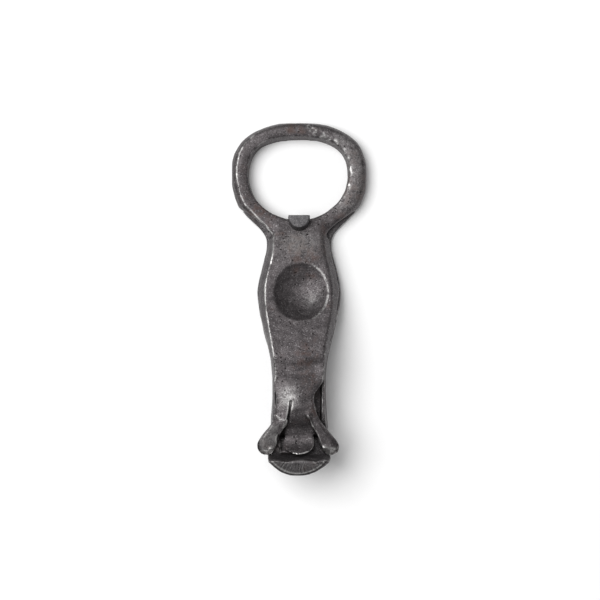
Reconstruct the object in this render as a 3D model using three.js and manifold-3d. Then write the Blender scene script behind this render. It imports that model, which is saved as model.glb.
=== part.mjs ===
// Forged iron bottle opener built in two layers. The front layer is a cap ring, a strap with a thumb dimple, and
// the strap's split end: two claws and a tongue. The back layer is a bar with drafted sides that laps under the
// ring's shoulders and curls up at the other end into a filed foot. A leaning tooth on the ring catches the cap.
// Millimetres. X is the width, +Y points to the ring, +Z is up, away from the surface that the opener lies on.
// The origin is at the middle of the bounding box's underside.
import * as THREE from "three";
import { mergeVertices } from "three/addons/utils/BufferGeometryUtils.js";
import Module from "manifold-3d";

const wasm = await Module();
wasm.setup();

// ---- driving dimensions ----
const overallLength = 112.4; // ring's far edge to the foot's tip
const gap = 0.3; // clearance between pieces that meet on a curved or cut face

const ringWidth = 43.4;
const ringBar = 5.4; // ring's thickness, top to bottom
const ringFarReach = 16.6; // ring's widest line to its far edge
const ringNearReach = 21.6; // the same to the near end of the ellipse that its shoulders leave
const ringFullness = 2.35; // superellipse exponent of the ring's far half
const openingWidth = 32.6;
const openingFarReach = 12.3; // ring's widest line to the opening's far edge
const openingNearReach = 14.7; // the same to the opening's near edge
const openingFullness = 2.6;
const openingShift = -0.3; // the opening sits a little left, so the bar is wider on the right
const openingDraft = 0.5; // the opening is this much smaller at the underside, all round
const openingLean = 0.6; // and its underside is this much nearer to the handle
const ringEdge = 0.6; // rounding of the ring's edges

const toothWidth = 7;
const toothLength = 4.1;
const toothHeight = 3.7;
const toothLean = 1.5; // how far the tooth's top stands out over the opening
const toothRoot = 0.8; // flat of the ring's root left behind the tooth

const strapThickness = 5;
const strapWaistWidth = 17;
const strapHipWidth = 22.6;
const strapShankWidth = 16.2;
const waistReach = 2.4; // strap's start to its waist
const hipReach = 16; // waist to hip
const neckWidth = 12;
const neckShift = -0.85; // the neck sits left of the middle
const neckLength = 3.2; // parallel part of the neck
const bulgeLength = 5; // end of the shank to the neck
const strapEdge = 0.5; // rounding of the strap's edges

const dimpleWidth = 17.4;
const dimpleLength = 18.9;
const dimpleDepth = 3;
const dimpleShift = 0.6; // the thumb's place is a little right of the middle
const dimpleReach = 0.2; // and this much nearer to the ring than the hip

const barWaistWidth = 20.9;
const barHipWidth = 27;
const barShankWidth = 17.4;
const barHeelWidth = 18.8;
const barDraft = 0.9; // each side of the bar leans in by this much from bottom to top
const yokeThickness = 1.7; // the bar's end that laps under the ring's shoulders
const yokeLap = 3; // how far it reaches past the opening's near edge
const troughDepth = 2.2; // the trough that the neck lies in
const troughRimLeft = 0.8;
const troughRimRight = 1.6;

const clawThickness = 4;
const leftClawRoot = 3.8;
const leftClawEnd = 5.8;
const leftClawSpread = 5.4; // sideways, root to free end
const rightClawRoot = 2.2;
const rightClawEnd = 5.1;
const rightClawSpread = 6.1;
const clawDrop = 2.6; // the free end is this much lower than the root
const clawShort = 1.1; // the free ends stop this much before the foot's ridge

const tongueWidth = 9.6;
const tongueLength = 14.6;
const tongueThickness = 2.6;
const tongueShort = 1.5; // the lip stops this much before the foot's ridge
const lipLength = 3.2; // round part of the lip

const footWidth = 19.6;
const footLength = 12;
const footTip = 5.9; // length of the foot's round end
const footTipThickness = 2;
const ridgeSetback = 0.7; // the ridge lies this much past the round end's corners
const heelLead = 5.6; // the upward sweep of the underside starts this much before the foot

// ---- heights of the top surface, ring to foot ----
const waistHeight = 8;
const hipHeight = 9.3;
const crestHeight = 19;
const stepHeight = crestHeight - 1.6;
const saddleHeight = crestHeight - 1.9;
const creaseHeight = crestHeight - 1.8;
const valleyHeight = crestHeight - 3.6; // lowest place of the tongue
const lipRise = 3; // valley to the tongue's lip
const ridgeRise = 5.6; // valley to the foot's ridge
const filedDrop = 3.8; // the filed face falls this much from the ridge to the tip

// ---- places along the length: the ring's end, then the foot's end, with the shank between them ----
const ringFar = overallLength / 2;
const wideY = ringFar - ringFarReach; // where the ring and its opening are widest
const openingNear = wideY - openingNearReach;
const strapStart = openingNear - toothLength - toothRoot;
const yokeEnd = openingNear + yokeLap;
const waistY = strapStart - waistReach;
const hipY = waistY - hipReach;
const dimpleY = hipY + dimpleReach;
const footTipY = -overallLength / 2;
const ridgeY = footTipY + footTip - ridgeSetback;
const footStart = footTipY + footLength;
const heelY = footStart + heelLead;
const lipY = ridgeY + tongueShort;
const rootY = lipY + tongueLength; // where the claws and the tongue leave the strap
const splitY = rootY + gap; // the strap's end
const neckY = splitY + neckLength;
const shankY = neckY + bulgeLength;
const clawReach = rootY - ridgeY - clawShort;

// ---- tools ----
const point = (x, y) => new THREE.Vector2(x, y);
const blend = (from, to, t) => from + (to - from) * t;
const ease = (t) => t * t * (3 - 2 * t);

// Smooth change from one size to another between two places; it stays level outside them.
function between(y, fromY, toY, from, to) {
  const t = THREE.MathUtils.clamp((y - fromY) / (toY - fromY), 0, 1);
  return blend(from, to, ease(t));
}

function solidFrom(geometry) {
  const bare = geometry.index ? geometry.toNonIndexed() : geometry.clone();
  bare.deleteAttribute("normal");
  bare.deleteAttribute("uv");
  const merged = mergeVertices(bare, 1e-4);
  const mesh = new wasm.Mesh({
    numProp: 3,
    vertProperties: new Float32Array(merged.attributes.position.array),
    triVerts: new Uint32Array(merged.index.array),
  });
  return new wasm.Manifold(mesh);
}

function meshFrom(name, solid, material) {
  const made = solid.getMesh();
  const geometry = new THREE.BufferGeometry();
  geometry.setAttribute("position", new THREE.BufferAttribute(made.vertProperties, 3));
  geometry.setIndex(new THREE.BufferAttribute(made.triVerts, 1));
  geometry.computeVertexNormals();
  const mesh = new THREE.Mesh(geometry, material);
  mesh.name = name;
  return mesh;
}

// A plan outline (X, Y) raised from one height to another, with its top and bottom edges rounded by `edge`.
function raised(shape, bottom, top, edge = 0) {
  const geometry = new THREE.ExtrudeGeometry(shape, {
    depth: top - bottom - 2 * edge,
    curveSegments: 20,
    bevelEnabled: edge > 0,
    bevelThickness: edge,
    bevelSize: edge,
    bevelOffset: -edge,
    bevelSegments: 2,
  });
  return solidFrom(geometry.translate(0, 0, bottom + edge));
}

// A plan outline that is full size at z = 0, with sides that lean in by `draft` up to z = height.
function drafted(shape, height, draft) {
  const below = 1;
  const geometry = new THREE.ExtrudeGeometry(shape, { depth: below + height, bevelEnabled: false });
  geometry.translate(0, 0, -below);
  const corners = geometry.attributes.position;
  for (let i = 0; i < corners.count; i++) {
    const x = corners.getX(i);
    corners.setX(i, x - Math.sign(x) * draft * (corners.getZ(i) / height));
  }
  return solidFrom(geometry);
}

// A side outline, given as (Y, Z), carried across the whole width.
function across(points) {
  const width = 2 * ringWidth;
  const geometry = new THREE.ExtrudeGeometry(new THREE.Shape(points), { depth: width, bevelEnabled: false });
  const turn = new THREE.Matrix4().makeBasis(
    new THREE.Vector3(0, 1, 0),
    new THREE.Vector3(0, 0, 1),
    new THREE.Vector3(1, 0, 0),
  );
  return solidFrom(geometry.applyMatrix4(turn).translate(-width / 2, 0, 0));
}

function block(fromX, toX, fromY, toY, fromZ, toZ) {
  const geometry = new THREE.BoxGeometry(toX - fromX, toY - fromY, toZ - fromZ);
  return solidFrom(geometry.translate((fromX + toX) / 2, (fromY + toY) / 2, (fromZ + toZ) / 2));
}

// ---- the curves that the pieces share ----
// Top surface of the strap along the middle, as (Y, Z).
const strapTop = new THREE.SplineCurve([
  point(strapStart, ringBar),
  point(blend(waistY, hipY, 0.13), waistHeight),
  point(blend(waistY, hipY, 0.87), hipHeight),
  point(blend(hipY, shankY, 0.25), blend(hipHeight, stepHeight, 0.36)),
  point(blend(hipY, shankY, 0.57), blend(hipHeight, stepHeight, 0.74)),
  point(blend(hipY, shankY, 0.85), stepHeight),
  point(blend(hipY, shankY, 0.93), saddleHeight),
  point(neckY + 1, crestHeight - 0.3),
  point(splitY, crestHeight),
]).getPoints(36);

// Top surface of the tongue along the middle: down from the crest, along the valley and up to the lip.
const tongueTop = new THREE.SplineCurve([
  point(rootY, crestHeight),
  point(blend(rootY, lipY, 0.23), creaseHeight),
  point(blend(rootY, lipY, 0.57), valleyHeight),
  point(blend(rootY, lipY, 0.78), valleyHeight + 0.1 * lipRise),
  point(lipY, valleyHeight + lipRise),
]).getPoints(18);

// Top surface of the claws.
const clawTop = new THREE.QuadraticBezierCurve(
  point(rootY, crestHeight),
  point(blend(rootY, lipY, 0.46), crestHeight - 0.3),
  point(rootY - clawReach - 1, crestHeight - clawDrop),
).getPoints(8);

// Top surface of the bar: what the strap lies on.
const barTop = strapTop.map((p, i) => {
  const start = blend(yokeThickness, waistHeight - strapThickness, Math.min(1, i / 6));
  return point(p.x, Math.max(start, p.y - strapThickness - gap));
});

// Under the split end the bar's and the foot's top surface stays clear of the tongue.
const headSeat = tongueTop.map((p) => {
  const underStrap = crestHeight - strapThickness - gap;
  const underTongue = p.y - tongueThickness - gap;
  return point(p.x, p.x > footStart ? Math.min(underStrap, underTongue) : underTongue);
});

function strapHalf(y) {
  const waistToHip = between(y, waistY, hipY, strapWaistWidth, strapHipWidth);
  const hipToShank = between(y, hipY, shankY + 1, 0, strapShankWidth - strapHipWidth);
  return (waistToHip + hipToShank) / 2;
}

function barHalf(y) {
  const waistToHip = between(y, waistY, hipY, barWaistWidth, barHipWidth);
  const hipToShank = between(y, hipY, shankY, 0, barShankWidth - barHipWidth);
  const shankToHeel = between(y, neckY, footStart, 0, barHeelWidth - barShankWidth);
  return (waistToHip + hipToShank + shankToHeel) / 2;
}

// Both edges of a symmetrical stretch, as a closed plan outline.
function stretch(half, fromY, toY, steps) {
  const right = [];
  for (let i = 0; i <= steps; i++) {
    const y = blend(fromY, toY, i / steps);
    right.push(point(half(y), y));
  }
  const left = right.map((p) => point(-p.x, p.y)).reverse();
  return right.concat(left);
}

// An egg-shaped loop: a superellipse on the far side of its widest line and an ellipse on the near side.
const farSteps = 26;
function eggPoints(half, farReach, nearReach, fullness, shift, nearAngle) {
  const points = [];
  for (let i = 0; i <= farSteps; i++) {
    const angle = (Math.PI * i) / farSteps;
    const c = Math.cos(angle);
    const x = half * Math.sign(c) * Math.abs(c) ** (2 / fullness);
    points.push(point(shift + x, wideY + farReach * Math.abs(Math.sin(angle)) ** (2 / fullness)));
  }
  const nearSteps = Math.round((nearAngle / Math.PI) * 24);
  for (let i = 1; i <= nearSteps; i++) {
    const angle = (nearAngle * i) / nearSteps;
    points.push(point(shift - half * Math.cos(angle), wideY - nearReach * Math.sin(angle)));
  }
  return points;
}

// The opening's walls lean out towards the top, most on the far side, so the cutter grows upwards.
function openingCutter() {
  const half = openingWidth / 2;
  const points = eggPoints(half, openingFarReach, openingNearReach, openingFullness, openingShift, Math.PI);
  points.pop();
  const geometry = new THREE.ExtrudeGeometry(new THREE.Shape(points), {
    depth: 2 * toothHeight,
    bevelEnabled: true,
    bevelThickness: ringBar + 1,
    bevelSize: openingDraft,
    bevelOffset: -openingDraft,
    bevelSegments: 1,
  });
  const lean = new THREE.Matrix4().makeShear(0, 0, 0, 0, 0, openingLean / ringBar);
  return solidFrom(geometry.applyMatrix4(lean).translate(0, 0, ringBar));
}

// Ring's outline: the egg down to its shoulders, which sweep in to the strap.
function ringShape() {
  const half = ringWidth / 2;
  const shoulderAngle = 0.5; // where the egg hands over to the shoulders
  const egg = eggPoints(half, ringFarReach, ringNearReach, ringFullness, 0, shoulderAngle);
  const last = egg[egg.length - 1];
  const root = strapHalf(waistY);
  const shoulder = new THREE.CubicBezierCurve(
    last,
    point(last.x + 2.4, last.y - 2.6),
    point(-root - 1.8, strapStart + 3.2),
    point(-root, strapStart),
  ).getPoints(8);
  const far = egg.slice(0, farSteps + 1);
  const left = egg.slice(farSteps + 1).concat(shoulder.slice(1));
  const right = left.map((p) => point(-p.x, p.y)).reverse();
  return new THREE.Shape([...right, ...far, ...left]);
}

// Yoke: the bar's end, wider than the ring's shoulders, up to where the ring's own bar takes over.
function yokePoints() {
  const waist = barHalf(waistY);
  const rise = (wideY - yokeEnd) / ringNearReach;
  const ear = (ringWidth / 2) * Math.sqrt(1 - rise * rise);
  return new THREE.CubicBezierCurve(
    point(waist, waistY),
    point(waist, waistY + 4),
    point(ear - 2.8, yokeEnd - 4),
    point(ear - 0.2, yokeEnd),
  ).getPoints(10);
}

// ---- materials ----
function iron(color, roughness, metalness) {
  return new THREE.MeshStandardMaterial({ color, roughness, metalness });
}
const ringIron = iron(0x6b6766, 0.55, 0.85);
const strapIron = iron(0x686362, 0.55, 0.85);
const barIron = iron(0x75726f, 0.5, 0.85);
const clawIron = iron(0x6e6b6a, 0.5, 0.85);
const tongueIron = iron(0x474546, 0.6, 0.8);
const filedIron = iron(0x5c5856, 0.65, 0.8);
const toothIron = iron(0x5f5d5f, 0.5, 0.85);

// ---- ring_eye: a bar bent round into the cap ring, lapped over the yoke ----
function ringEye() {
  const bar = raised(ringShape(), 0, ringBar, ringEdge);
  const lap = block(-ringWidth, ringWidth, strapStart - 1, yokeEnd + gap, -1, yokeThickness + gap);
  return bar.subtract(openingCutter()).subtract(lap);
}

// ---- cap_tooth: a D-shaped peg on the ring's root, leaning out over the opening ----
function capTooth() {
  const shape = new THREE.Shape();
  shape.moveTo(toothWidth / 2, 0);
  shape.absellipse(0, 0, toothWidth / 2, toothLength, 0, Math.PI, true);
  shape.closePath();
  const geometry = new THREE.ExtrudeGeometry(shape, { depth: toothHeight, curveSegments: 18, bevelEnabled: false });
  const lean = new THREE.Matrix4().makeShear(0, 0, 0, 0, 0, toothLean / toothHeight);
  return solidFrom(geometry.applyMatrix4(lean).translate(0, openingNear, ringBar));
}

// ---- front_strap: the handle's upper layer, with the thumb dimple, the saddle and the crest ----
function frontStrap() {
  const startY = strapStart - gap;
  const steps = 22;
  const body = stretch(strapHalf, startY, shankY + 1, steps);
  const half = strapShankWidth / 2;
  const neck = neckWidth / 2;
  const rightEdge = new THREE.CubicBezierCurve(
    point(half, shankY + 1),
    point(half - 0.6, shankY - 2.4),
    point(neckShift + neck, neckY + 2),
    point(neckShift + neck, neckY),
  ).getPoints(8);
  const leftEdge = new THREE.CubicBezierCurve(
    point(neckShift - neck, neckY),
    point(neckShift - neck, neckY + 2),
    point(-half + 0.2, shankY - 1.4),
    point(-half, shankY + 1),
  ).getPoints(8);
  const ends = [point(neckShift + neck, splitY), point(neckShift - neck, splitY)];
  const rightBody = body.slice(0, steps);
  const leftBody = body.slice(steps + 2);
  const plan = new THREE.Shape([...rightBody, ...rightEdge, ...ends, ...leftEdge, ...leftBody]);
  const under = barTop.map((p) => point(p.x, p.y + gap)).reverse();
  const side = across([...strapTop, ...under]);
  const cut = block(-ringWidth, ringWidth, startY, startY + 2, -1, 2 * crestHeight);
  return drafted(plan, crestHeight + 1, strapEdge).intersect(side).subtract(cut).subtract(dimple());
}

// Thumb dimple: part of an ellipsoid, tilted with the slope that it is pressed into.
function dimple() {
  const highEnd = heightAt(strapTop, dimpleY - dimpleLength / 2);
  const lowEnd = heightAt(strapTop, dimpleY + dimpleLength / 2);
  const rim = (highEnd + lowEnd) / 2;
  const sag = rim - heightAt(strapTop, dimpleY);
  const radius = ((dimpleWidth / 2) ** 2 + dimpleDepth ** 2) / (2 * dimpleDepth);
  const depth = dimpleDepth + sag;
  const rimHalf = Math.sqrt(2 * radius * depth - depth ** 2);
  const geometry = new THREE.SphereGeometry(radius, 44, 32);
  geometry.translate(0, 0, radius - depth);
  geometry.scale(1, dimpleLength / 2 / rimHalf, 1);
  geometry.rotateX(Math.atan2(lowEnd - highEnd, dimpleLength));
  return solidFrom(geometry.translate(dimpleShift, dimpleY, rim));
}

// ---- back_bar: the handle's lower layer, from the yoke to the heel ----
function backBar() {
  const ear = yokePoints();
  const steps = 34;
  const right = stretch(barHalf, waistY, footStart, steps).slice(0, steps + 1);
  const rightSide = [...ear.slice(1).reverse(), ...right];
  const leftSide = rightSide.map((p) => point(-p.x, p.y)).reverse();
  const plan = new THREE.Shape([...rightSide, ...leftSide]);
  const side = across([
    point(yokeEnd, 0),
    point(yokeEnd, yokeThickness),
    ...barTop,
    ...headSeat.filter((p) => p.x > footStart),
    point(footStart, seatHeight(footStart)),
    point(footStart, underside(footStart)),
    ...undersidePoints(footStart, heelY),
  ]);
  const trough = block(
    -barShankWidth / 2 + troughRimLeft,
    barShankWidth / 2 - troughRimRight,
    footStart - 1,
    shankY - 1,
    crestHeight - strapThickness - gap - troughDepth,
    crestHeight,
  );
  return drafted(plan, crestHeight, barDraft).intersect(side).subtract(openingCutter()).subtract(trough);
}

// Height of a top surface, given as (Y, Z) points from the ring's end to the foot's, at one place.
function heightAt(points, y) {
  const i = points.findIndex((p) => p.x <= y);
  const t = (points[i - 1].x - y) / (points[i - 1].x - points[i].x);
  return blend(points[i - 1].y, points[i].y, t);
}

const seatHeight = (y) => heightAt(headSeat, y);

// The underside is flat to the heel and then sweeps up to the foot.
function underside(y) {
  const tipUnder = valleyHeight + ridgeRise - filedDrop - footTipThickness;
  const t = THREE.MathUtils.clamp((heelY - y) / (heelY - footTipY), 0, 1);
  return tipUnder * t ** 1.25;
}

function undersidePoints(fromY, toY) {
  const points = [];
  for (let i = 1; i <= 5; i++) {
    const y = blend(fromY, toY, i / 5);
    points.push(point(y, underside(y)));
  }
  return points;
}

// ---- foot: the bar's curled-up end, with a filed face round its tip ----
function foot() {
  const half = footWidth / 2;
  const start = footStart - gap;
  const roundY = footTipY + footTip;
  const radius = (half ** 2 + footTip ** 2) / (2 * footTip);
  const swing = Math.asin(half / radius);
  const shape = new THREE.Shape();
  shape.moveTo(barHeelWidth / 2, start);
  shape.lineTo(-barHeelWidth / 2, start);
  shape.lineTo(-half, roundY);
  shape.absarc(0, footTipY + radius, radius, -Math.PI / 2 - swing, -Math.PI / 2 + swing, false);
  shape.closePath();
  const ridge = valleyHeight + ridgeRise;
  const ridgeEdge = 0.5;
  const side = across([
    point(footTipY, underside(footTipY)),
    ...undersidePoints(footTipY, start),
    point(start, seatHeight(start)),
    ...headSeat.filter((p) => p.x < start),
    point(lipY - gap, seatHeight(lipY)),
    point(ridgeY + ridgeEdge, ridge - ridgeEdge),
    point(ridgeY, ridge),
    point(footTipY, ridge - filedDrop),
  ]);
  let made = raised(shape, -1, ridge + 1).intersect(side);
  for (const claw of [leftClaw, rightClaw]) {
    made = made.subtract(footNotch(claw.side)).subtract(raised(clawPlan(claw, gap), clawFloor, ridge + 1));
  }
  return made;
}

// Beside the tongue the foot's upper part is cut back, so that it flares from the tongue to its full width.
const clawFloor = crestHeight - clawDrop - clawThickness - 2 * gap;
function footNotch(side) {
  const inner = tongueWidth / 2 + gap;
  const outer = footWidth / 2 + 2;
  const near = ridgeY + 2 * gap;
  const flare = new THREE.QuadraticBezierCurve(
    point(side * inner, footStart + 1),
    point(side * (inner + 0.6), blend(near, footStart, 0.2)),
    point(side * outer, near),
  ).getPoints(8);
  const points = [...flare, point(side * outer, footStart + 1)];
  if (side > 0) points.reverse();
  return raised(new THREE.Shape(points), clawFloor, 3 * crestHeight);
}

// ---- claws: the strap's two side prongs, bent outwards and down ----
const leftClaw = {
  side: -1,
  rootX: neckShift - neckWidth / 2 + leftClawRoot / 2,
  rootWidth: leftClawRoot,
  endWidth: leftClawEnd,
  spread: leftClawSpread,
};
const rightClaw = {
  side: 1,
  rootX: neckShift + neckWidth / 2 - rightClawRoot / 2,
  rootWidth: rightClawRoot,
  endWidth: rightClawEnd,
  spread: rightClawSpread,
};

// Plan outline of a claw: a widening band along its path with a round end. `grow` is added all round.
function clawPlan(shape, grow) {
  const { side, rootX, rootWidth, endWidth, spread } = shape;
  const path = new THREE.CubicBezierCurve(
    point(rootX, rootY + grow),
    point(rootX + side * 0.4, rootY - clawReach * 0.36),
    point(rootX + side * spread * 0.55, rootY - clawReach * 0.55),
    point(rootX + side * spread, rootY - clawReach + endWidth / 2),
  );
  const steps = 14;
  const one = [];
  const other = [];
  for (let i = 0; i <= steps; i++) {
    const t = i / steps;
    const centre = path.getPoint(t);
    const along = i === 0 ? point(0, -1) : path.getTangent(t);
    const half = blend(rootWidth, endWidth, ease(t)) / 2 + grow;
    one.push(point(centre.x - along.y * half, centre.y + along.x * half));
    other.push(point(centre.x + along.y * half, centre.y - along.x * half));
  }
  const end = path.getPoint(1);
  const from = one[steps].clone().sub(end);
  const cap = [];
  const capSteps = 8;
  for (let i = 1; i < capSteps; i++) {
    const turned = from.clone().rotateAround(point(0, 0), (-Math.PI * i) / capSteps);
    cap.push(end.clone().add(turned));
  }
  return new THREE.Shape([...one, ...cap, ...other.reverse()]);
}

function claw(shape) {
  const under = clawTop.map((p) => point(p.x, p.y - clawThickness)).reverse();
  return raised(clawPlan(shape, 0), 0, 2 * crestHeight).intersect(across([...clawTop, ...under]));
}

// ---- tongue: the strap's middle prong, bent down into the foot's hollow ----
function tongue() {
  const rightRoot = rightClaw.rootX - rightClawRoot / 2 - gap;
  const leftRoot = leftClaw.rootX + leftClawRoot / 2 + gap;
  const shift = (rightRoot + leftRoot) / 2;
  const rootHalf = (rightRoot - leftRoot) / 2;
  const roundY = lipY + lipLength;
  const half = (y) => between(y, rootY, roundY, rootHalf, tongueWidth / 2);
  const lip = [];
  const lipSteps = 12;
  for (let i = 1; i < lipSteps; i++) {
    const angle = (Math.PI * i) / lipSteps;
    const x = (tongueWidth / 2) * Math.cos(angle);
    lip.push(point(x, roundY - lipLength * Math.sin(angle)));
  }
  const steps = 8;
  const sides = stretch(half, rootY, roundY, steps);
  const outline = [...sides.slice(0, steps + 1), ...lip, ...sides.slice(steps + 1)];
  const plan = new THREE.Shape(outline.map((p) => point(p.x + between(p.y, rootY, roundY, shift, 0), p.y)));
  const under = tongueTop.map((p) => point(p.x, p.y - tongueThickness)).reverse();
  let made = raised(plan, 0, 2 * crestHeight).intersect(across([...tongueTop, ...under]));
  for (const shape of [leftClaw, rightClaw]) {
    made = made.subtract(raised(clawPlan(shape, gap), -1, 3 * crestHeight));
  }
  return made;
}

// ---- the opener ----
const opener = new THREE.Group();
opener.add(meshFrom("ring_eye", ringEye(), ringIron));
opener.add(meshFrom("cap_tooth", capTooth(), toothIron));
opener.add(meshFrom("front_strap", frontStrap(), strapIron));
opener.add(meshFrom("back_bar", backBar(), barIron));
opener.add(meshFrom("left_claw", claw(leftClaw), clawIron));
opener.add(meshFrom("right_claw", claw(rightClaw), clawIron));
opener.add(meshFrom("tongue", tongue(), tongueIron));
opener.add(meshFrom("foot", foot(), filedIron));

export default opener;
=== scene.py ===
import math

import bmesh
import bpy
import numpy as np
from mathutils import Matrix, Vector


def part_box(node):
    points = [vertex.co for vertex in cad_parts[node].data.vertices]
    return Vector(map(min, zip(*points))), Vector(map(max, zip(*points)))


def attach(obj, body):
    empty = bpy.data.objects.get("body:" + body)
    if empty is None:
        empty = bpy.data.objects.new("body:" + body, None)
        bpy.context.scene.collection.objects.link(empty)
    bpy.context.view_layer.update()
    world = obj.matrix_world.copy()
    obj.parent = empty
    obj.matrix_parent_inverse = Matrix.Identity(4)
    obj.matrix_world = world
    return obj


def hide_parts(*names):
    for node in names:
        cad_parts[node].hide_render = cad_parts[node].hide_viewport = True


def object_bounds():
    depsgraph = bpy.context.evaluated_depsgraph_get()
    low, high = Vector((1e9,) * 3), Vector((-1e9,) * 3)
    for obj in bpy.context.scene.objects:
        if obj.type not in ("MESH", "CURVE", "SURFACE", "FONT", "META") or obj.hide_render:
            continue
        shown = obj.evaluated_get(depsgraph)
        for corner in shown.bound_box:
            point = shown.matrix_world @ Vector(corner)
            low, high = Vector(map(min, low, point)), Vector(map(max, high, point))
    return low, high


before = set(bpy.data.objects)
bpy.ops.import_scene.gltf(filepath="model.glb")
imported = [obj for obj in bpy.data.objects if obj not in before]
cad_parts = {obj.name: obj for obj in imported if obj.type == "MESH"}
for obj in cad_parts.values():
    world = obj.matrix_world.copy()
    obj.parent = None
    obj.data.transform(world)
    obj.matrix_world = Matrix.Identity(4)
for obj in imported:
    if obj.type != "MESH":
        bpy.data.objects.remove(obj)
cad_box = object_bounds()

# ---------------------------------------------------------------------------------------------------------
# Table top, light and camera. The opener lies on a plain white table under one broad soft light, up and to
# the left of it, with pale light from all round, and is looked at from straight above.
# ---------------------------------------------------------------------------------------------------------
scene = bpy.context.scene
scene.view_settings.view_transform = "Standard"
scene.view_settings.look = "None"

VIEW_HEIGHT = 0.56
VIEW_WIDTH = 0.195
VIEW_MIDDLE = (0.0003, -0.0009)
eye = bpy.data.cameras.new("eye")
eye.sensor_width = 36
eye.lens = eye.sensor_width * VIEW_HEIGHT / VIEW_WIDTH
eye_object = bpy.data.objects.new("eye", eye)
eye_object.location = (*VIEW_MIDDLE, VIEW_HEIGHT)
scene.collection.objects.link(eye_object)
scene.camera = eye_object

LIGHT_WAY = Vector((-0.52, 0.24, 1.0))
LIGHT_HEIGHT = 1.2
LIGHT_LENGTH = 1.04
LIGHT_WIDTH = 0.8
LIGHT_POWER = 20
lamp = bpy.data.lights.new("soft_light", "AREA")
lamp.shape = "RECTANGLE"
lamp.size = LIGHT_LENGTH * LIGHT_HEIGHT
lamp.size_y = LIGHT_WIDTH * LIGHT_HEIGHT
lamp.energy = LIGHT_POWER
lamp_object = bpy.data.objects.new("soft_light", lamp)
lamp_object.location = LIGHT_WAY * LIGHT_HEIGHT
lamp_object.rotation_euler = LIGHT_WAY.to_track_quat("Z", "Y").to_euler()
scene.collection.objects.link(lamp_object)

ROOM_LIGHT = 0.37
room = bpy.data.worlds.new("pale_room")
room.use_nodes = True
room.node_tree.nodes["Background"].inputs["Color"].default_value = (1.0, 1.0, 1.0, 1)
room.node_tree.nodes["Background"].inputs["Strength"].default_value = ROOM_LIGHT
scene.world = room

TABLE_HALF = 1.6
bm = bmesh.new()
bmesh.ops.create_grid(bm, x_segments=1, y_segments=1, size=TABLE_HALF)
table_mesh = bpy.data.meshes.new("table_top")
bm.to_mesh(table_mesh)
bm.free()
table = bpy.data.objects.new("table_top", table_mesh)
scene.collection.objects.link(table)
paper = bpy.data.materials.new("white_paper")
paper.use_nodes = True
paper.node_tree.nodes["Principled BSDF"].inputs["Base Color"].default_value = (0.97, 0.97, 0.97, 1)
paper.node_tree.nodes["Principled BSDF"].inputs["Roughness"].default_value = 0.9
paper.node_tree.nodes["Principled BSDF"].inputs["Specular IOR Level"].default_value = 0.1
table_mesh.materials.append(paper)

# ---------------------------------------------------------------------------------------------------------
# Back bar. A thick bar of black iron, drawn down in tapered dies so that its sides lean in, thinned to a
# yoke under the ring's shoulders, and turned up at the other end into a foot whose end is filed by hand.
# ---------------------------------------------------------------------------------------------------------
MM = 0.001
IN_MM = 1000
SKIN = 0.27 * MM
WEAR_ROUNDS = 5
# Share of rub values over 1, mostly painted highlight lines, that is added to the wear value.
WORN_AND_HIGHLIGHT_BRIGHT = 0.15


def welded(*names):
    """The bodies of some members in one bmesh, each with its corners joined."""
    bm = bmesh.new()
    for name in names:
        bm.from_mesh(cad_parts[name].data)
    bmesh.ops.remove_doubles(bm, verts=bm.verts, dist=1e-6)
    return bm


def weld_plug(bm, low, high):
    """A block of iron across the joint between two members."""
    low, high = Vector(low), Vector(high)
    made = bmesh.ops.create_cube(bm, size=1.0)
    bmesh.ops.scale(bm, vec=high - low, verts=made["verts"])
    bmesh.ops.translate(bm, vec=(low + high) / 2, verts=made["verts"])


def weld_wedge(bm, low, high, near_top):
    """A block whose top runs from high's height at its +Y end to near_top at its -Y end."""
    weld_plug(bm, low, high)
    bm.verts.ensure_lookup_table()
    for v in bm.verts[-8:]:
        if v.co.z > (low[2] + high[2]) / 2 and v.co.y < (low[1] + high[1]) / 2:
            v.co.z = near_top


def forged(name, bm, skin, passes):
    """One even skin over everything in the bmesh, with its corners worn round by smoothing."""
    mesh = bpy.data.meshes.new(name)
    bm.to_mesh(mesh)
    bm.free()
    obj = bpy.data.objects.new(name, mesh)
    scene.collection.objects.link(obj)
    cover = obj.modifiers.new("skin", "REMESH")
    cover.mode = "VOXEL"
    cover.voxel_size = skin
    whole = bpy.data.meshes.new_from_object(obj.evaluated_get(bpy.context.evaluated_depsgraph_get()))
    obj.modifiers.clear()
    bm = bmesh.new()
    bm.from_mesh(whole)
    for _ in range(passes):
        bmesh.ops.smooth_vert(bm, verts=bm.verts, factor=0.5, use_axis_x=True, use_axis_y=True, use_axis_z=True)
    bm.to_mesh(whole)
    bm.free()
    whole.name = name
    obj.data = whole
    return obj


def points_of(mesh):
    """Vertex positions in millimetres."""
    co = np.empty(len(mesh.vertices) * 3, np.float32)
    mesh.vertices.foreach_get("co", co)
    return co.reshape(-1, 3).astype(float) * IN_MM


def normals_of(mesh):
    n = np.empty(len(mesh.vertices) * 3, np.float32)
    mesh.vertices.foreach_get("normal", n)
    return n.reshape(-1, 3).astype(float)


def put_points(mesh, p):
    mesh.vertices.foreach_set("co", (p / IN_MM).astype(np.float32).ravel())
    mesh.update()


def step(value, low, high):
    """0 at low, 1 at high, smooth between them; low may be the larger one."""
    t = np.clip((value - low) / (high - low), 0, 1)
    return t * t * (3 - 2 * t)


def hill(distance, width):
    return np.exp(-((distance / width) ** 2))


def ripple(p, length, seed):
    """Slow uneven waves, as hammer blows leave them: a sum of a few fixed sine waves, about -1 to 1."""
    rng = np.random.default_rng(seed)
    total = np.zeros(len(p))
    for _ in range(9):
        way = rng.normal(size=3)
        way /= np.linalg.norm(way)
        total += np.sin(p @ way * (2 * math.pi / (length * rng.uniform(0.6, 1.6))) + rng.uniform(0, 6.28))
    return total / 4


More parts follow.
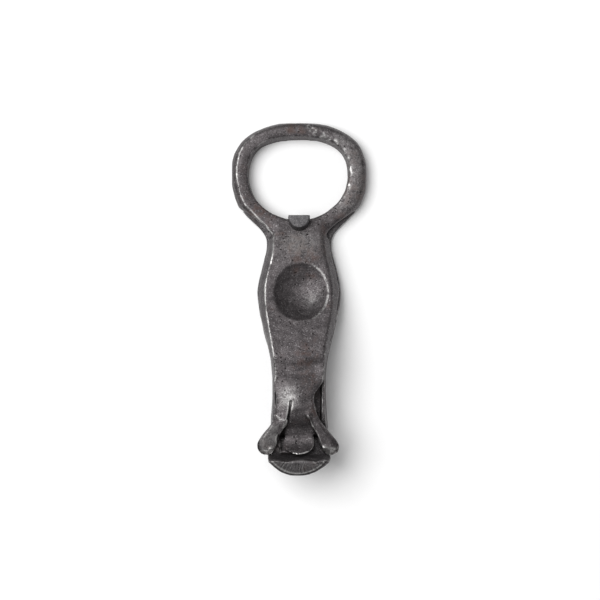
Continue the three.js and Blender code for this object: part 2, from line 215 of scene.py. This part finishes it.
def placed(corners, from_y):
    """Corners in plan, with Y counted from a line across the opener."""
    return [(corner_x, from_y + corner_y) for corner_x, corner_y in corners]


def line_distance(p, corners):
    """Distance in plan from each point to a broken line."""
    best = np.full(len(p), 1e9)
    for a, b in zip(corners, corners[1:]):
        a, b = np.array(a), np.array(b)
        along = b - a
        t = np.clip(((p[:, :2] - a) @ along) / (along @ along), 0, 1)
        best = np.minimum(best, np.linalg.norm(p[:, :2] - (a + t[:, None] * along), axis=1))
    return best


def softened(mesh, p, rounds, share=1.0):
    """The points after some rounds of moving each towards the middle of its neighbours, by its share."""
    ends = np.empty(len(mesh.edges) * 2, np.int32)
    mesh.edges.foreach_get("vertices", ends)
    one, two = ends.reshape(-1, 2).T
    count = np.bincount(one, minlength=len(p)) + np.bincount(two, minlength=len(p))
    soft = p.copy()
    for _ in range(rounds):
        for axis in range(3):
            total = np.bincount(one, soft[two, axis], len(p)) + np.bincount(two, soft[one, axis], len(p))
            soft[:, axis] += share * (total / count - soft[:, axis])
    return soft


def finish_skin(obj, rub_and_painted_light=None, calm=1.0):
    """Stores on each vertex how far it stands out of the shape round it, with painted highlight lines added
    (wear_and_painted_light), and how much painted light, rubbed wear or painted shade it carries
    (rub_and_painted_light). A value up to 1 is painted lighter, more than 1 also gets a painted highlight in
    the wear value, and less than 0 gets painted shade."""
    mesh = obj.data
    rub_and_painted_light = np.zeros(len(mesh.vertices)) if rub_and_painted_light is None else rub_and_painted_light
    mesh.attributes.new("rub_and_painted_light", "FLOAT", "POINT").data.foreach_set("value", rub_and_painted_light.astype(np.float32))
    p = points_of(mesh)
    stands_out = ((p - softened(mesh, p, WEAR_ROUNDS)) * normals_of(mesh)).sum(1)
    # Worn edges, with painted highlight lines added from rub values over 1; places below 0 later get painted
    # shade.
    wear_and_painted_light = stands_out * calm + WORN_AND_HIGHLIGHT_BRIGHT * np.clip(rub_and_painted_light - 1, 0, 1)
    mesh.attributes.new("wear_and_painted_light", "FLOAT", "POINT").data.foreach_set("value", wear_and_painted_light.astype(np.float32))
    for polygon in mesh.polygons:
        polygon.use_smooth = True


ring_low, ring_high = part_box("ring_eye")
strap_low, strap_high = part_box("front_strap")
bar_low, bar_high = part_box("back_bar")
foot_low, foot_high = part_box("foot")
heel_y = bar_low.y
split_y = strap_low.y
ridge_y = foot_low.y + 0.0052
ridge_z = foot_high.z

# Iron closes the joint from heel to foot and the left of the foot's hollow, and makes the recess left of the
# neck narrower, most at its two ends.
bm = welded("back_bar", "foot")
weld_plug(bm, (-0.0088, heel_y - 0.0012, 0.006), (0.0088, heel_y + 0.0012, 0.0112))
hollow_low = (-0.0092, ridge_y - 0.001, 0.009)
hollow_high = (-0.0052, ridge_y + 0.0045, ridge_z - 0.0066)
weld_wedge(bm, hollow_low, hollow_high, ridge_z - 0.0022)
weld_plug(bm, (-0.0082, split_y - 0.0040, 0.009), (-0.0072, split_y + 0.0095, 0.0142))
weld_plug(bm, (-0.0080, split_y - 0.0040, 0.009), (-0.0066, split_y + 0.0006, 0.0142))
weld_plug(bm, (-0.0080, split_y + 0.0064, 0.009), (-0.0060, split_y + 0.0095, 0.0142))
back = forged("back_bar_skin", bm, SKIN, passes=2)

# Points are shaped in millimetres.
p = points_of(back.data)
x, y, z = p.T
low, high = (np.array(v) * IN_MM for v in cad_box)
tip = foot_low.y * IN_MM
ridge = ridge_y * IN_MM
heel = heel_y * IN_MM
split = split_y * IN_MM
ring_from = ring_low.y * IN_MM
yoke_end = bar_high.y * IN_MM

# The foot gets back the size that smoothing took, its end leans a little to the left, and its ridge lies
# further out and wavers. The yoke's tips reach out under the ring's shoulders.
foot_part = step(y, heel - 2, heel - 6)
x = x * (1 + 0.02 * foot_part) - 0.4 * step(y, ridge, tip)
x = x + np.sign(x) * 0.3 * step(y, yoke_end - 2.9, yoke_end) * step(np.abs(x), 12, 14)
y = y - 0.2 * step(y, ridge + 1, tip + 1) - 0.6 * hill(y - ridge, 1.6) * step(z, 15, 19)
y = y + 0.3 * np.sin(0.8 * x + 1.2) * hill(y - ridge, 1.2) * step(z, 18, 20)
p = np.column_stack((x, y, z))

# The filled places on the left are smoothed into the iron round them.
hollow_left = step(x, -1.2, -3.0) * step(z, 9, 12)
hollow_left = hollow_left * step(y, heel - 1, heel - 2.5) * step(y, ridge - 0.6, ridge + 0.6)
neck_left = step(x, -5, -6) * step(z, 12, 13)
neck_left = neck_left * step(y, split - 5, split - 3) * step(y, split + 12, split + 10)
p = softened(back.data, p, rounds=10, share=0.9 * np.maximum(hollow_left, neck_left))
x, y, z = p.T
put_points(back.data, p)
n = normals_of(back.data)
top = step(n[:, 2], 0.15, 0.6)

# Filed end: coarse and fine strokes fan out from the middle of the ridge towards the round edge, over a face
# that swells a little in the middle.
coarse_strokes = 49
fine_strokes = 80
stroke_depth = 0.26
swell = 0.3
filed = step(y, ridge + 0.1, ridge - 0.7) * top
angle = np.arctan2(x, ridge + 5 - y)
coarse = np.sin(angle * coarse_strokes + 1.6 * ripple(p, 4, 9))
fine = np.sin(angle * fine_strokes + x * 0.9)
strokes = (coarse * 0.6 + fine * 0.4) * (0.75 + 0.5 * ripple(p, 3, 10))
z = z + filed * (stroke_depth * strokes * (0.6 + 0.4 * ripple(p, 3, 8)) + swell * (1 - (x / 9) ** 2))

# Uneven surface left by the dies and the hammer. The underside stays flat.
uneven = 0.09 * ripple(p, 9, 3) + 0.04 * ripple(p, 2.6, 4)
p = np.column_stack((x, y, z)) + n * uneven[:, None] * step(z, 0.1, 1.2)[:, None]
put_points(back.data, np.clip(p, low, high))

# The filed face gets a painted highlight along its round edge, a painted shadow just outside it, and lighter
# strokes inside it.
half = (foot_high.x - foot_low.x) * IN_MM / 2
round_length = 5.9
round_middle = -0.3
radius = (half ** 2 + round_length ** 2) / (2 * round_length)
rim = np.hypot(x - round_middle, y - tip - radius) - radius
rim_highlight_and_shadow = 1.8 * hill(rim + 0.8, 0.25) - 0.8 * hill(rim + 0.25, 0.3)
rub_and_painted_light = (rim_highlight_and_shadow + 0.9 * strokes * step(rim, -0.9, -1.3)) * filed

# Painted shade under the slots of the split strap and in the yoke's bend on the left. The bar's edges are less
# worn than the strap's.
shade_under_slots = step(np.abs(x), 7.6, 7.0) * step(y, heel - 2, heel) * step(y, split - 5.4, split - 7.4)
yoke_bend = line_distance(p, placed([(-17, 7.4), (-13.2, 3.6), (-10.9, 0.6), (-9.9, -2)], ring_from))
rub_and_painted_light = rub_and_painted_light - 0.8 * shade_under_slots * step(z, 9, 10.5) - 0.45 * hill(yoke_bend, 0.8) * top
calm = 0.45 + 0.2 * step(z, 15, 13) * step(y, 0, -8)
finish_skin(back, rub_and_painted_light, calm)

BRIGHT_SPECK = (0.40, 0.385, 0.392, 1)
DARK_SPECK = (0.018, 0.017, 0.017, 1)
BROWN_RUST = (0.085, 0.045, 0.033, 1)
PIT_BLACK = (0.012, 0.011, 0.010, 1)
# Painted shade in hollows, where the skin sinks below the shape round it.
HOLLOW_SHADE_BLACK = (0.03, 0.028, 0.028, 1)
# Painted shade in slots, grooves and recesses, where the rub value is below 0.
PAINTED_SHADE_BLACK = (0.012, 0.011, 0.011, 1)
# Painted light and highlights, with some rubbed wear, where the rub value is above 0.
RUBBED_AND_LIT_GREY = (0.34, 0.335, 0.33, 1)
# Worn edges together with painted highlight lines.
WORN_AND_LIT_GREY = (0.56, 0.55, 0.54, 1)
WEAR_AND_HIGHLIGHT_FROM = 0.05
BUMP_DEPTH = 0.00014
MIX_AMOUNT = 0
MIX_ONE = 6
MIX_OTHER = 7
MIX_COLOUR = 2


class Level:
    """A shader value that can be worked with in sums and products."""

    def __init__(self, finish, socket):
        self.finish = finish
        self.socket = socket

    def math(self, operation, first, second):
        return self.finish.add("ShaderNodeMath", {"operation": operation}, {0: first, 1: second})

    def __add__(self, other):
        return self.math("ADD", self, other)

    def __radd__(self, other):
        return self.math("ADD", other, self)

    def __sub__(self, other):
        return self.math("SUBTRACT", self, other)

    def __rsub__(self, other):
        return self.math("SUBTRACT", other, self)

    def __mul__(self, other):
        return self.math("MULTIPLY", self, other)

    def between(self, low, high):
        """0 at low, 1 at high, smooth between them."""
        return self.finish.add(
            "ShaderNodeMapRange",
            {"interpolation_type": "SMOOTHSTEP"},
            {"Value": self, "From Min": low, "From Max": high},
        )


class Finish:
    """A material, and the one way that a node is added to it."""

    def __init__(self, name):
        self.material = bpy.data.materials.new(name)
        self.material.use_nodes = True
        self.tree = self.material.node_tree
        self.shader = self.tree.nodes["Principled BSDF"]

    def feed(self, socket, value):
        if isinstance(value, Level):
            self.tree.links.new(value.socket, socket)
        else:
            socket.default_value = value

    def add(self, kind, settings=None, sockets=None, out=0):
        node = self.tree.nodes.new(kind)
        for name, value in (settings or {}).items():
            setattr(node, name, value)
        for name, value in (sockets or {}).items():
            self.feed(node.inputs[name], value)
        return Level(self, node.outputs[out])

    def mix(self, amount, one, other):
        """Colour that goes from one to the other."""
        sockets = {MIX_AMOUNT: amount, MIX_ONE: one, MIX_OTHER: other}
        return self.add("ShaderNodeMix", {"data_type": "RGBA"}, sockets, MIX_COLOUR)

    def noise(self, where, scale, detail, rough=0.5):
        sockets = {"Vector": where, "Scale": scale, "Detail": detail, "Roughness": rough}
        return self.add("ShaderNodeTexNoise", None, sockets)


def black_iron(name, dark, pale, rust_share, worn_and_highlight_at, grain_bump):
    """Scaled and rubbed iron: mottled, finely pitted, browned in places, bright along its edges from wear and
    painted highlights, with painted light and painted shade where its attributes say.
    """
    f = Finish(name)
    where = f.add("ShaderNodeTexCoord", out="Object")
    where = f.add("ShaderNodeVectorMath", {"operation": "SCALE"}, {0: where, "Scale": 1000.0})
    broad = f.noise(where, 0.09, 3.0, 0.55)
    mottle = f.noise(where, 0.55, 5.0, 0.62)
    grain = f.noise(where, 2.4, 3.0, 0.75)
    fine = f.noise(where, 6.0, 2.0, 0.6)
    cells = f.add("ShaderNodeTexVoronoi", None, {"Vector": where, "Scale": 0.85, "Randomness": 1.0})
    pits = (1 - cells.between(0.08, 0.26)) * f.noise(where, 0.4, 2.0).between(0.45, 0.6)
    out = f.add("ShaderNodeAttribute", {"attribute_name": "wear_and_painted_light"}, out="Fac")
    # Worn edges together with painted highlight lines.
    wear_and_painted_light = (out + (grain - 0.5) * 0.07).between(WEAR_AND_HIGHLIGHT_FROM, worn_and_highlight_at) * mottle.between(0.3, 0.55)
    # Painted shade where the wear value is below 0, in hollows.
    hollow_shade = (0 - out).between(0.02, 0.12)
    # Painted light and highlights, with some rubbed wear, where the rub value is above 0.
    rub_and_light_attribute = f.add("ShaderNodeAttribute", {"attribute_name": "rub_and_painted_light"}, out="Fac")
    rub_and_painted_light = rub_and_light_attribute.between(0.0, 1.0) * (grain + mottle - 0.4).between(0.35, 0.7)
    # Painted shade where the rub value is below 0.
    painted_shade = (0 - rub_and_light_attribute).between(0.1, 1.0)
    rust = broad.between(0.54, 0.68) * mottle.between(0.4, 0.62) * rust_share
    body = f.mix(mottle.between(0.3, 0.7), dark, pale)
    speck = grain.between(0.54, 0.74)
    body = f.mix(speck * 0.8, body, BRIGHT_SPECK)
    body = f.mix(grain.between(0.46, 0.3) * 0.65, body, DARK_SPECK)
    body = f.mix(rust, body, BROWN_RUST)
    body = f.mix(pits * 0.8, body, PIT_BLACK)
    # Painted shade in hollows and slots, then painted light and highlights, then worn edges with painted
    # highlight lines.
    body = f.mix(hollow_shade * 0.6, body, HOLLOW_SHADE_BLACK)
    body = f.mix(painted_shade, body, PAINTED_SHADE_BLACK)
    body = f.mix(rub_and_painted_light * 0.75, body, RUBBED_AND_LIT_GREY)
    body = f.mix(wear_and_painted_light * 0.9, body, WORN_AND_LIT_GREY)
    rough = 0.42 + mottle * 0.16 + rust * 0.2 + pits * 0.2 - wear_and_painted_light * 0.14 - speck * 0.08 - rub_and_painted_light * 0.08
    f.feed(f.shader.inputs["Base Color"], body)
    f.feed(f.shader.inputs["Roughness"], rough)
    f.feed(f.shader.inputs["Metallic"], 0.9)
    height = grain * 0.55 + fine * 0.35 + mottle * 0.9 - pits * 1.2
    sockets = {"Strength": grain_bump, "Distance": BUMP_DEPTH, "Height": height}
    f.feed(f.shader.inputs["Normal"], f.add("ShaderNodeBump", None, sockets))
    return f.material


def put_material(obj, material):
    obj.data.materials.clear()
    obj.data.materials.append(material)


bar_iron = black_iron(
    "bar_iron",
    dark=(0.077, 0.0715, 0.0735, 1),
    pale=(0.123, 0.115, 0.118, 1),
    rust_share=0.3,
    worn_and_highlight_at=0.12,
    grain_bump=0.8,
)
put_material(back, bar_iron)
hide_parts("back_bar", "foot")
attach(back, "root")

# ---------------------------------------------------------------------------------------------------------
# Front forging. One strap of iron: bent into the cap ring at one end, pressed with a thumb at the hip,
# and split at the other end into two claws and a tongue. It is forge-welded down onto the bar.
# ---------------------------------------------------------------------------------------------------------
crest_z = strap_high.z

# Iron closes the joints from handle to ring and from neck to claws and tongue, the root of the right claw's
# slot, and the left of the tongue's lip.
bm = welded("ring_eye", "front_strap", "left_claw", "right_claw", "tongue")
weld_plug(bm, (-0.0080, strap_high.y - 0.001, 0.0023), (0.0080, ring_low.y + 0.001, ring_high.z - 0.0001))
for low_x, high_x in ((-0.0066, -0.0036), (-0.0027, 0.0024), (0.0031, 0.0050)):
    weld_plug(bm, (low_x, split_y - 0.0010, crest_z - 0.0024), (high_x, split_y + 0.0008, crest_z - 0.0001))
slot_low = (0.0022, split_y - 0.0036, crest_z - 0.0045)
slot_high = (0.0042, split_y + 0.0005, crest_z - 0.0004)
weld_wedge(bm, slot_low, slot_high, crest_z - 0.0016)
lip_low = (-0.0064, ridge_y + 0.0014, 0.012)
lip_high = (-0.0024, ridge_y + 0.0056, ridge_z - 0.0054)
weld_wedge(bm, lip_low, lip_high, ridge_z - 0.0010)
front = forged("front_forging", bm, SKIN, passes=2)

p = points_of(front.data)
n = normals_of(front.data)
x, y, z = p.T
up = step(n[:, 2], -0.1, 0.5)
strap_from = strap_high.y * IN_MM
on_strap = step(y, strap_from + 1.5, strap_from - 1.5) * step(y, split + 6, split + 9)


def profile(p, values, keep, low, high, pitch=1.0):
    """Largest value in each slice along the handle, as a function of Y."""
    places = np.arange(low, high + pitch, pitch)
    slices = np.round((p[:, 1] - low) / pitch).astype(int)
    best = np.zeros(len(places))
    for i in range(len(places)):
        chosen = keep & (slices == i)
        best[i] = values[chosen].max() if chosen.any() else np.nan
    good = ~np.isnan(best)
    return lambda y: np.interp(y, places[good], best[good])


# The strap's walls flare down onto the bar, and its underside sinks into it.
wall_from = split + 8
top_of = profile(p, z, n[:, 2] > 0.7, split, strap_from)
edge_of = profile(p, np.abs(x), np.ones(len(p), bool), wall_from, strap_from)
bar_points = points_of(back.data)
bar_wall = bar_points[:, 2] > top_of(bar_points[:, 1]) - 7
bar_edge = profile(bar_points, np.abs(bar_points[:, 0]), bar_wall, wall_from, strap_from)
fall = np.clip((top_of(y) - 0.9 - z) / 4, 0, 1) * on_strap
near_wall = step(np.abs(x), edge_of(y) - 2.5, edge_of(y) - 0.3)
x = x + np.sign(x) * fall * near_wall * np.maximum(0, bar_edge(y) - edge_of(y) - 0.1)
z = z - 0.8 * step(fall, 0.6, 1.0)

# The saddle: a soft crescent pressed across the strap, before the bulge.
saddle_place = 11.9
saddle_depth = 1.4
saddle_width = 2.3
saddle_y = split + saddle_place + 0.02 * (x + 1) ** 2
z = z - saddle_depth * hill(y - saddle_y, saddle_width) * up * step(np.abs(x), 11, 8)

# The bulge and the neck: crowned from side to side, highest left of the middle, a little wider on the left.
on_bulge = step(y, split + 9.5, split + 5.5) * step(y, split - 5.0, split - 2.0)
z = z - (0.030 * (x - 1.0) ** 2 - 0.3) * on_bulge * up
z = z + 0.35 * np.exp(-((x + 2.2) ** 2 + (y - split - 3.0) ** 2) / 9) * up
wider = step(x, -4.5, -6) * step(z, 9, 11) * step(y, split + 10, split + 7) * step(y, split - 3, split - 0.5)
x = x - 0.8 * wider

# The handle's root rises evenly out of the ring.
root_height = 8.8
ramp = np.interp(y, [ring_from - 7, ring_from + 5.5], [root_height, ring_high.z * IN_MM])
root = step(y, ring_from + 7, ring_from + 4.5) * step(y, ring_from - 8.5, ring_from - 6)
root = root * step(np.abs(x), 9.6, 7.4) * up
z = z + (ramp - z) * root

# The tongue stays full for a while and then falls at a crease.
between_claws = step(np.abs(x - 0.1), 3.6, 2.9)
full = step(y, split - 0.4, split - 3) * step(y, split - 7.2, split - 4.0)
z = z + 0.6 * full * between_claws * up

# Painted light: a painted highlight on the bulge and at the near right of the dimple, and painted light before
# the tooth and all over the left claw.
claw_height = step(z, 11.5, 13.5) * up
rub_and_painted_light = 0.8 * np.exp(-((x + 3.3) ** 2 / 10 + (y - split - 2.8) ** 2 / 16))
rub_and_painted_light = np.maximum(rub_and_painted_light, 0.5 * np.exp(-((x - 4.2) ** 2 + (y + 1) ** 2) / 9))
rub_and_painted_light = np.maximum(rub_and_painted_light, 0.5 * np.exp(-(x ** 2 / 50 + (y - strap_from + 2.5) ** 2 / 22)) * up)
rub_and_painted_light = np.maximum(rub_and_painted_light, 0.5 * step(x, -5.5, -6.5) * step(y, split - 4.5, split - 6) * claw_height)

# The claws' outer edges and ends are hammered down, each end is painted light as a reflection of the bright
# table, and each inner
# # corner is pushed up into a bead with a painted highlight on it.
left_outline = placed(
    [(-7.6, -2.4), (-9.0, -5.4), (-11.3, -8.6), (-13.2, -12.1), (-12.4, -14.7), (-10, -15.4), (-8.2, -14.8)],
    split,
)
right_outline = placed(
    [(5.9, -3.9), (7.6, -6.9), (10.2, -9.4), (12.3, -11.8), (12.2, -14.2), (10.2, -15.4), (8.2, -15)],
    split,
)
left_bead, right_bead = placed([(-8.7, -13.3), (7.6, -12.8)], split)
left_end = split - 13.5
right_end = split - 12.8
claw_end = step(y, split - 9.5, split - 12.5)
facet = 0.7 + 1.2 * claw_end
calm = np.ones(len(p))
for outline, bead, end_from in ((left_outline, left_bead, left_end), (right_outline, right_bead, right_end)):
    d = line_distance(p, outline)
    z = z - (0.5 + 0.9 * claw_end) * np.clip(1 - d / facet, 0, 1) * claw_height
    calm = np.minimum(calm, 1 - 0.75 * step(d, 3.0, 1.5))
    this_claw = step(x * np.sign(bead[0]), 5.5, 6.2) * step(z, 10.5, 11.5)
    lump = np.exp(-((p[:, 0] - bead[0]) ** 2 / 0.9 + (p[:, 1] - bead[1]) ** 2 / 0.25))
    end_highlight = 0.9 * hill(y - end_from, 0.25)
    rub_and_painted_light = np.maximum(rub_and_painted_light, (1.5 * step(y, end_from, end_from - 0.3) + end_highlight + 2 * lump) * this_claw)
    z = z + 0.5 * lump * claw_height

# The ring: its outer wall leans in towards the top, most on the left, and its top is slightly crowned.
slice_angle = math.radians(3)
slice_count = 121
ring_part = step(y, strap_from + 4, strap_from + 9)
wide_y = y[x > x.max() - 0.2].mean()
turn = np.arctan2(y - wide_y, x)
reach = np.hypot(x, y - wide_y)
slices = np.round((turn + math.pi) / slice_angle).astype(int)
on_slice = [(slices == i) & (ring_part > 0) for i in range(slice_count)]
outer = np.array([reach[chosen].max(initial=0) for chosen in on_slice])[slices]
inner = np.array([reach[chosen].min(initial=99) for chosen in on_slice])[slices]
place = np.clip((reach - (outer + inner) / 2) / np.maximum((outer - inner) / 2, 1), -1, 1)
lean = (0.85 - 0.25 * x / 21) * step(place, -0.1, 0.9) * np.clip((z - 2) / 3.2, 0, 1)
lean = (lean - 0.35 * step(place, 0.2, 0.9)) * ring_part
x = x * (1 - lean / reach)
y = wide_y + (y - wide_y) * (1 - lean / reach)
z = z - 0.35 * place ** 2 * ring_part * up

# The claws' inner edges are hollowed beside the tongue.
claw_side = step(z, 11, 12.5)
slot = np.interp(y, [split - 14.4, split - 9.3, split - 6.9, split - 0.4], [6.8, 4.95, 4.1, 2.9])
past_slot = step(np.abs(x), slot, slot + 0.3) * step(np.abs(x), slot + 4.4, slot + 2.2) * claw_side
x = x + np.sign(x) * 0.8 * hill(y - split + 8.7, 3.6) * past_slot

# Bright lines: painted highlights on the dimple's rim on the right and on the fold at the left claw's root, and
# lines that are
# # partly worn bright and partly painted highlight along the strap's left edge and the ring's left shoulder
# down to the hip. The ring
# # is paler on the right, with bright flecks inside.
dimple_x = 0.6
dimple_y = 1.8
dimple_half_width = 8.7
dimple_half_length = 9.45
broken = 0.5 * ripple(p, 2, 11)
rim = np.hypot((x - dimple_x) / dimple_half_width, (y - dimple_y) / dimple_half_length) - 1
rub_and_painted_light = np.maximum(rub_and_painted_light, (1.3 + broken) * hill(rim * 9 + 0.05, 0.3) * step(x, 3.0, 6.0) * up)
left_edge = placed([(-9.2, 21.6), (-8.8, 18.6), (-8.0, 14.6), (-7.5, 10.6), (-7.3, 8.1)], split)
rub_and_painted_light = np.maximum(rub_and_painted_light, (1.3 + broken) * hill(line_distance(p, left_edge), 0.3) * up)
shoulder = [(-15, 32.6), (-18, 30), (-19.9, 26.5), (-20.8, 22), (-20.7, 18.5), (-19.4, 12.8), (-17.8, 9.4)]
hip = [(-16.2, 7.9), (-10.5, 2.9), (-8.8, 0.6), (-8.4, -3), (-8.7, -6.5), (-9.1, -9)]
down_left = line_distance(p, placed(shoulder + hip, ring_from))
worn_and_highlight_bright = 1.2 + 0.6 * step(y, ring_from + 16, ring_from + 10) + broken
rub_and_painted_light = np.maximum(rub_and_painted_light, worn_and_highlight_bright * hill(down_left, 0.25) * up)
root_fold = placed([(-7.1, -2.8), (-5.8, -3.8), (-4.4, -4)], split)
rub_and_painted_light = np.maximum(rub_and_painted_light, 1.6 * hill(line_distance(p, root_fold), 0.28) * up)
rub_and_painted_light = np.maximum(rub_and_painted_light, 0.35 * ring_part * step(x, 8, 14) * up)
inner_edge = [(5.5, 32.3), (9.5, 31), (13.7, 28.4), (16.2, 23.5), (16.9, 18.2), (15.7, 14.8), (13, 11)]
flecks = np.clip(1.5 * ripple(p, 1.5, 12) + 0.6, 0, 1.6)
rub_and_painted_light = np.maximum(rub_and_painted_light, flecks * hill(line_distance(p, placed(inner_edge, ring_from)), 0.8) * up)

# The scarf: the ring's end laps over at the far side, which leaves a crack with bright flecks beside it.
scarf = placed([(3.4, 35.6), (4.6, 33.8), (6.4, 33), (8.4, 31.4), (11.4, 30)], ring_from)
crack = line_distance(p, scarf)
z = z - 0.35 * hill(crack, 0.3) * up
rub_and_painted_light = np.maximum(rub_and_painted_light, flecks * hill(crack - 0.5, 0.7) * up)

# The tongue's left half runs on without an edge into the iron beside it, which has no bright wear.
tongue_middle = (n[:, 2] > 0.6) & (np.abs(x - 0.3) < 1.0)
tongue_z = profile(p, z, tongue_middle, split - 16, split - 6, pitch=0.5)
beside = step(x, -0.5, -2.0) * step(x, -7.0, -6.2) * step(y, split - 8.6, split - 10) * step(z, 12.5, 13.5) * up
z = z + (tongue_z(y) - 0.02 * (x - 0.3) ** 2 - z) * beside
calm = calm * (1 - step(x, -1.5, -2.5) * step(x, -7.0, -6.4) * step(y, split - 8, split - 9))
p = np.column_stack((x, y, z))
put_points(front.data, p)

# The ring and the right side of the handle are worn rounder than the left edge. So are the bulge, the bend
# of the tongue, the iron left of the tongue, the handle's root and the saddle.
on_ring = step(y, strap_from - 1, strap_from + 4)
right_side = step(x, 3, 6.5) * step(y, split + 11, split + 20)
on_saddle = hill(y - saddle_y + 1, 5.5) * step(np.abs(x), 8, 6)
fill = step(x, -1.8, -2.8) * step(y, split - 9, split - 10.5) * step(x, -7.2, -6.4) * up
bend = step(np.abs(x), 4.6, 3.9) * hill(y - split + 8.7, 2.2) * up
share = np.clip(0.12 * on_ring + 0.9 * right_side + 0.8 * on_bulge + 0.9 * fill + 0.9 * bend, 0.0, 0.9)
p = softened(front.data, p, rounds=14, share=share)
p = softened(front.data, p, rounds=22, share=0.9 * np.maximum(root, on_saddle * up))

# A groove where the left claw starts to part from the neck, with painted shade in it and a painted highlight on
# the edge on the claw's side.
groove = line_distance(p, placed([(-2.6, 1.8), (-2.9, -0.6), (-3.5, -3.6)], split))
bright_side = line_distance(p, placed([(-3.0, 2.4), (-3.5, -0.8), (-4.2, -3.8), (-5.2, -6.6)], split))
p[:, 2] = p[:, 2] - 0.6 * hill(groove, 0.3) * up
rub_and_painted_light = np.maximum(rub_and_painted_light, (1.4 + broken) * hill(bright_side, 0.28) * up)
rub_and_painted_light = rub_and_painted_light - 1.6 * hill(groove, 0.3) * up * step(y, split + 2.2, split - 1.5)

# Painted shade in the slots on both sides of the tongue, and where its left half runs on.
left_slot = line_distance(p, placed([(-3.7, -2.9), (-4.7, -7.4), (-5.2, -9.9), (-5.9, -13.4)], split))
right_slot = line_distance(p, placed([(3.8, -3.4), (5.0, -7.9), (6.0, -11.9)], split))
low_down = step(z, 19.2, 18.6) * step(z, 9, 11)
rub_and_painted_light = rub_and_painted_light - 0.8 * hill(left_slot, 0.8) * step(x, -6.6, -5.9) * low_down
rub_and_painted_light = rub_and_painted_light - 0.8 * hill(right_slot, 0.45) * low_down
rub_and_painted_light = rub_and_painted_light - 0.4 * beside * step(y, split - 12, split - 14)

# Uneven surface left by the hammer.
uneven = 0.10 * ripple(p, 9, 5) + 0.045 * ripple(p, 2.6, 6)
p = p + n * uneven[:, None]
put_points(front.data, np.clip(p, low, high))
finish_skin(front, rub_and_painted_light, calm)
strap_iron = black_iron(
    "strap_iron",
    dark=(0.063, 0.0565, 0.0585, 1),
    pale=(0.108, 0.0975, 0.1005, 1),
    rust_share=0.5,
    worn_and_highlight_at=0.12,
    grain_bump=0.9,
)
put_material(front, strap_iron)
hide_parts("ring_eye", "front_strap", "left_claw", "right_claw", "tongue")
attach(front, "root")

# ---------------------------------------------------------------------------------------------------------
# Cap tooth. A D-shaped peg of the same iron, driven into the ring's root and knocked over so that its flat
# side overhangs the opening and catches under the cap's edge.
# ---------------------------------------------------------------------------------------------------------
TOOTH_SKIN = 0.15 * MM
tooth = forged("cap_tooth_skin", welded("cap_tooth"), TOOTH_SKIN, passes=8)
finish_skin(tooth)
tooth_iron = black_iron(
    "tooth_iron",
    dark=(0.08, 0.077, 0.08, 1),
    pale=(0.12, 0.116, 0.12, 1),
    rust_share=0.2,
    worn_and_highlight_at=0.16,
    grain_bump=0.7,
)
put_material(tooth, tooth_iron)
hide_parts("cap_tooth")
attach(tooth, "root")
